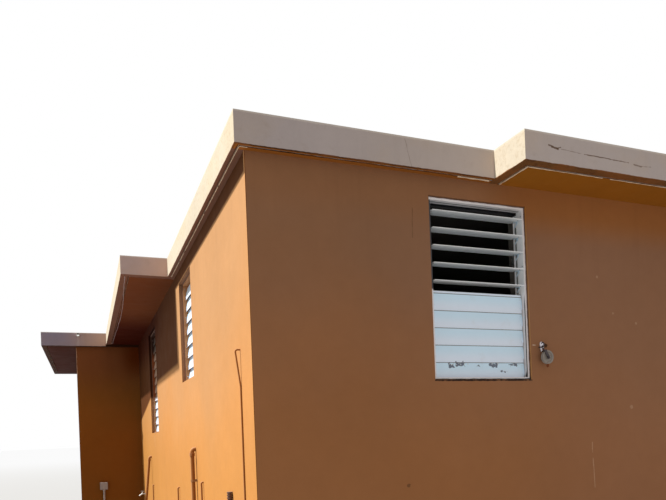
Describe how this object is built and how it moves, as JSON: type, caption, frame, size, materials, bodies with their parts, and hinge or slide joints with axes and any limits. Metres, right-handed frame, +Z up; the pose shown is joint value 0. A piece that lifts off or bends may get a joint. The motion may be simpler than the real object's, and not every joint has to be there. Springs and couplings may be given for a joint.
{
  "type": "flat-roofed concrete house",
  "caption": "Single-storey plastered masonry house with a stepped flat concrete roof, louvre windows and a wider rear block.",
  "frame": {"origin": "middle of the building's footprint box, at ground level", "axes": "+Z up, -Y out of the front wall that the picture shows in shade, -X out of the sunlit left wall"},
  "size_m": [10.34, 11.645, 3.07],
  "materials": {
    "floor_concrete": "steel-trowelled concrete",
    "wall_paint": "matte masonry paint on plaster, caramel brown",
    "roof_paint": "matte cream paint on concrete, weathered",
    "window_paint": "white baked enamel on aluminium, chalky",
    "mill_aluminium": "dull mill finish",
    "frame_paint": "aluminium frame painted over with the wall paint",
    "door_paint": "semi-gloss white paint on wood",
    "satin_steel": "satin",
    "pipe_paint": "rigid pipe painted over with the wall paint",
    "dull_zinc": "dull zinc, spotted with paint",
    "grey_plastic": "moulded box and painted pipe, dusty",
    "pulley_metal": "weathered, rust at the edges"
  },
  "bodies": {
    "root": {"floor_slab": "floor_concrete", "front_wall": "wall_paint", "left_wall": "wall_paint", "right_wall": "wall_paint", "left_wing_front_wall": "wall_paint", "right_wing_front_wall": "wall_paint", "left_wing_side_wall": "wall_paint", "right_wing_side_wall": "wall_paint", "rear_wall_left": "wall_paint", "rear_wall_right": "wall_paint", "rear_wall_lintel": "wall_paint", "front_roof": "roof_paint", "rear_roof": "roof_paint", "roof_spouts": "roof_paint", "front_window_frames": "window_paint", "front_window_blades": "window_paint", "front_window_links": "mill_aluminium", "front_window_cranks": "mill_aluminium", "left_window_frames": "frame_paint", "left_window_blades": "window_paint", "left_window_links": "mill_aluminium", "left_window_cranks": "mill_aluminium", "right_window_frames": "frame_paint", "right_window_blades": "window_paint", "right_window_links": "mill_aluminium", "right_window_cranks": "mill_aluminium", "rear_window_frames": "window_paint", "rear_window_blades": "window_paint", "rear_window_links": "mill_aluminium", "rear_window_cranks": "mill_aluminium", "door_frame": "door_paint", "door_leaf": "door_paint", "door_hinges": "satin_steel", "door_handles": "satin_steel", "waste_pipe": "pipe_paint", "conduit": "pipe_paint", "thin_pipes": "pipe_paint", "water_riser": "pipe_paint", "capped_riser": "pipe_paint", "pipe_straps": "dull_zinc", "garden_tap": "dull_zinc", "outlet_box": "grey_plastic", "pulley_hook": "pulley_metal", "pulley_strap": "pulley_metal", "pulley_wheel": "pulley_metal"}
  },
  "joints": []
}
